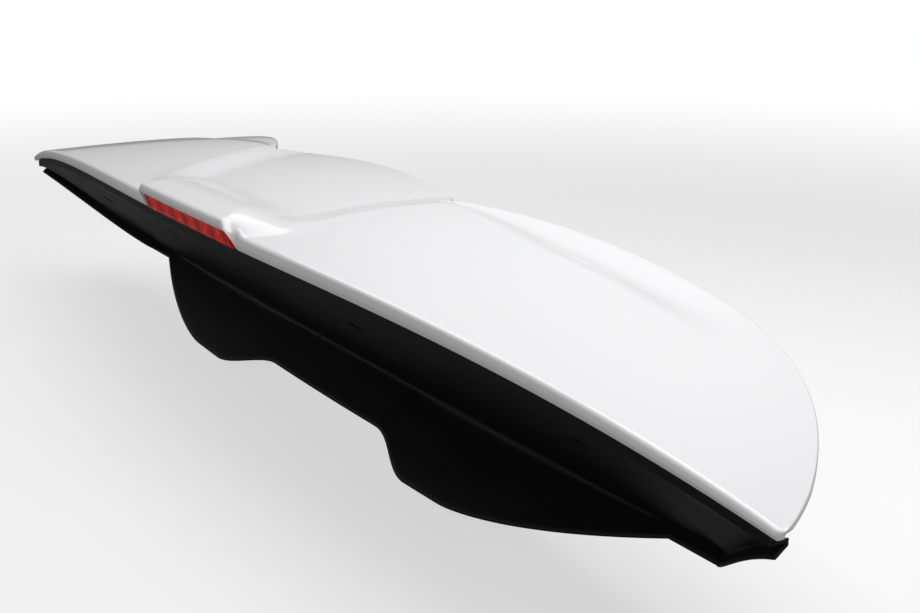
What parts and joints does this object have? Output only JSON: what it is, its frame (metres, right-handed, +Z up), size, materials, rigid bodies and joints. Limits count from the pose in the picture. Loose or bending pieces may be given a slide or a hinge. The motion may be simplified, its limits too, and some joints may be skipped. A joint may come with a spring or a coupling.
{
  "type": "rear roof spoiler",
  "caption": "Rear roof spoiler with a painted two-blade skin, a centre trough over a red stop lamp, a black lower cover and a stud pattern that bolts it to a tailgate.",
  "frame": {"origin": "middle of the four mounting studs, in the plane of the brackets' front faces", "axes": "+X towards the car's right-hand side, +Y forward along the car and along the studs, +Z up"},
  "size_m": [1.2, 0.2119, 0.2095],
  "materials": {
    "paint": "gloss paint over injection moulded plastic",
    "cover": "fine grained black moulding",
    "fin": "fine grained black moulding",
    "bracket": "glass-filled moulding",
    "steel": "zinc plated",
    "foam": "closed cell foam",
    "clip": "natural nylon",
    "red_lens": "clear red moulding",
    "lamp_body": "satin moulding",
    "mirror": "bright coating",
    "board": "varnished circuit board",
    "light": "encapsulated light",
    "pin_metal": "tinned"
  },
  "bodies": {
    "root": {"upper_skin": "paint", "cover_middle": "cover", "cover_right": "cover", "cover_left": "cover", "side_fin_right": "fin", "side_fin_left": "fin", "bracket_right": "bracket", "bracket_left": "bracket", "mounting_studs": "steel", "stud_seals": "foam", "bracket_screws": "steel", "cover_bracket_screws": "steel", "cover_screws": "steel", "edge_clips": "clip", "front_seal": "foam", "skirt_seal": "foam", "lamp_lens": "red_lens", "lamp_housing": "lamp_body", "lamp_reflector": "mirror", "lamp_board": "board", "lamp_leds": "light", "lamp_gasket": "foam", "lamp_screws": "steel", "connector_pins": "pin_metal"}
  },
  "joints": []
}
